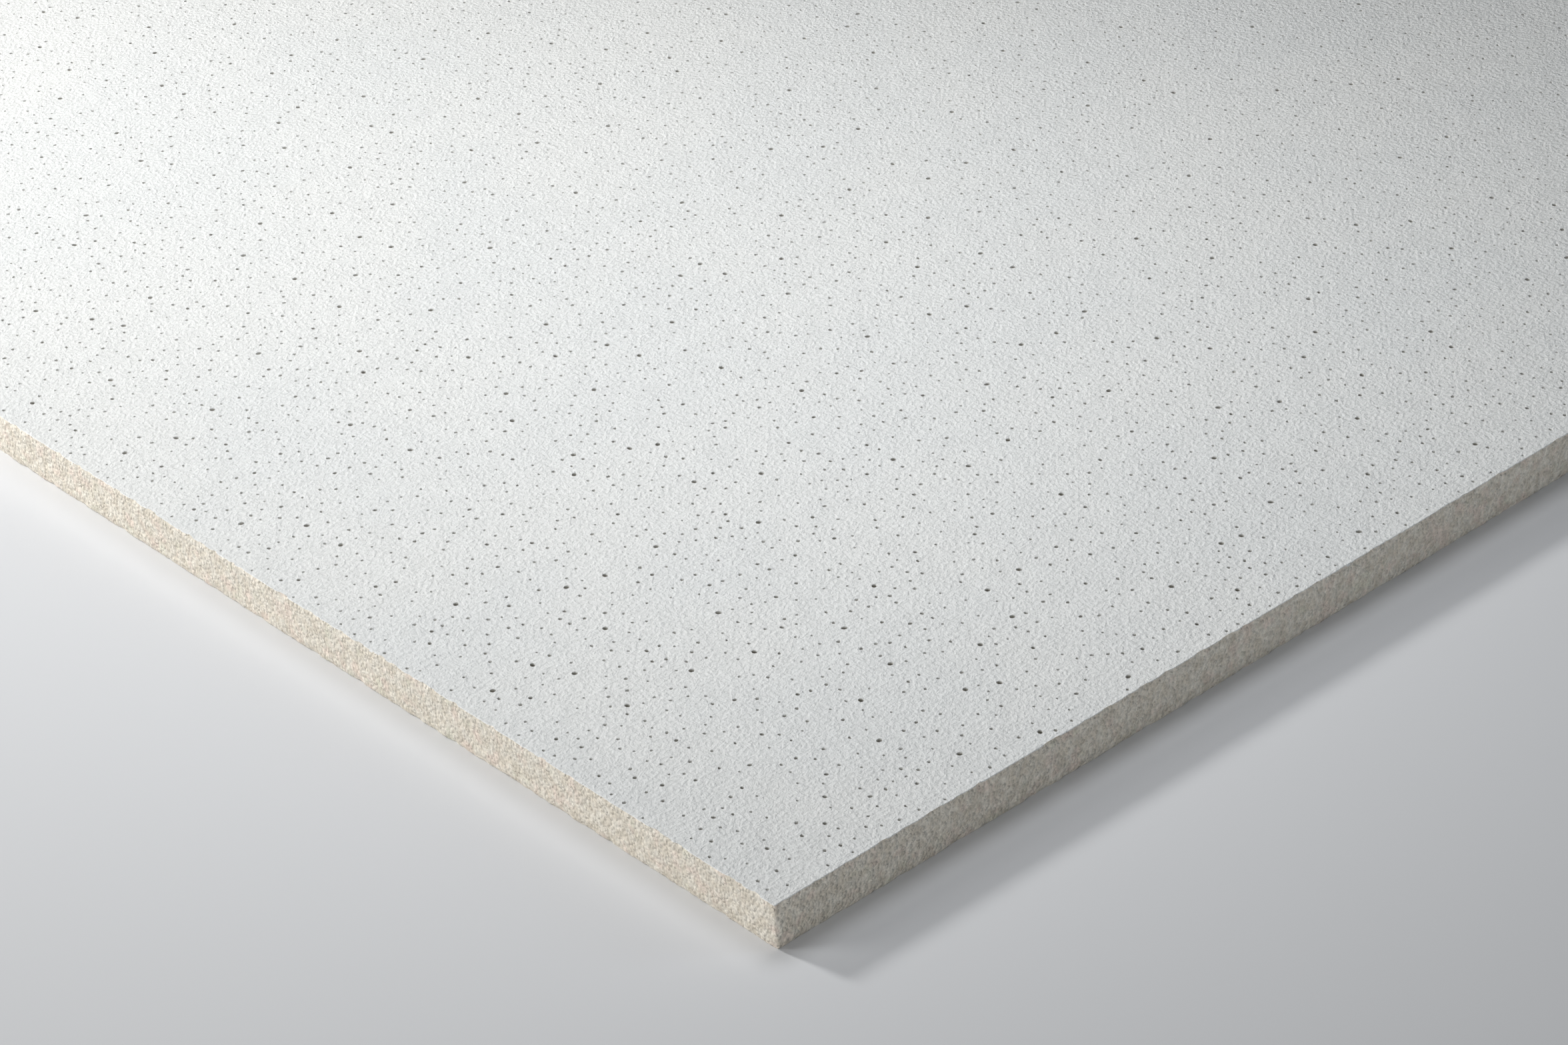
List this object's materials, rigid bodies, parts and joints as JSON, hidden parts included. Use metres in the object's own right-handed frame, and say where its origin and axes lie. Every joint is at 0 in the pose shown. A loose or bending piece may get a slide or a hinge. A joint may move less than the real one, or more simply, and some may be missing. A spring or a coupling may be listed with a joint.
{
  "type": "mineral fibre ceiling tile",
  "caption": "Square lay-in ceiling tile of mineral fibre board, with a white painted, needle-perforated face and bare square-cut edges.",
  "frame": {"origin": "centre of the back face, which lies on the floor when the tile is stored face up", "axes": "+Z out of the painted, perforated face; +X and +Y along the tile's two sides, which are equal"},
  "size_m": [0.595, 0.595, 0.013],
  "materials": {
    "mineral_fibre_board": "matt white paint on the perforated face, bare cream fibre board on the edges and back"
  },
  "bodies": {
    "root": {"ceiling_tile": "mineral_fibre_board"}
  },
  "joints": []
}
